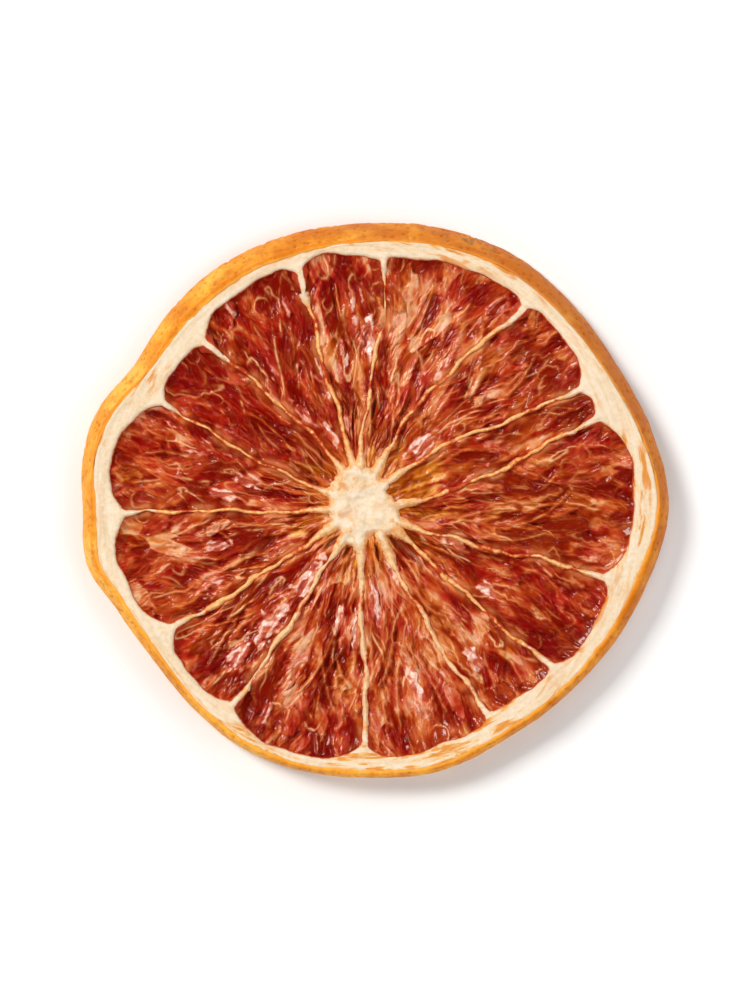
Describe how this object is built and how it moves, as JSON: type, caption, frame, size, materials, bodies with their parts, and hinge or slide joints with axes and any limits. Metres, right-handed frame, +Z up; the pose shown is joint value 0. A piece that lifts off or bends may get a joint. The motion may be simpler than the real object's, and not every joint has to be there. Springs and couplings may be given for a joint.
{
  "type": "dried grapefruit slice",
  "caption": "Thin round cut of red citrus, dried hard: pebbled rind and pale pith rim, thin spokes from a spongy core, sunken glossy pulp.",
  "frame": {"origin": "middle of the slice's outline box, on the surface it lies on", "axes": "+Z up through the slice, out of its narrower face; +X along its longest chord"},
  "size_m": [0.0852, 0.0804, 0.0055],
  "materials": {
    "pulp": "dried juice sacs, uneven gloss",
    "pith": "dry, matte",
    "rind": "dry, pebbled, satin"
  },
  "bodies": {
    "root": {"grapefruit_slice": "pulp"}
  },
  "joints": []
}
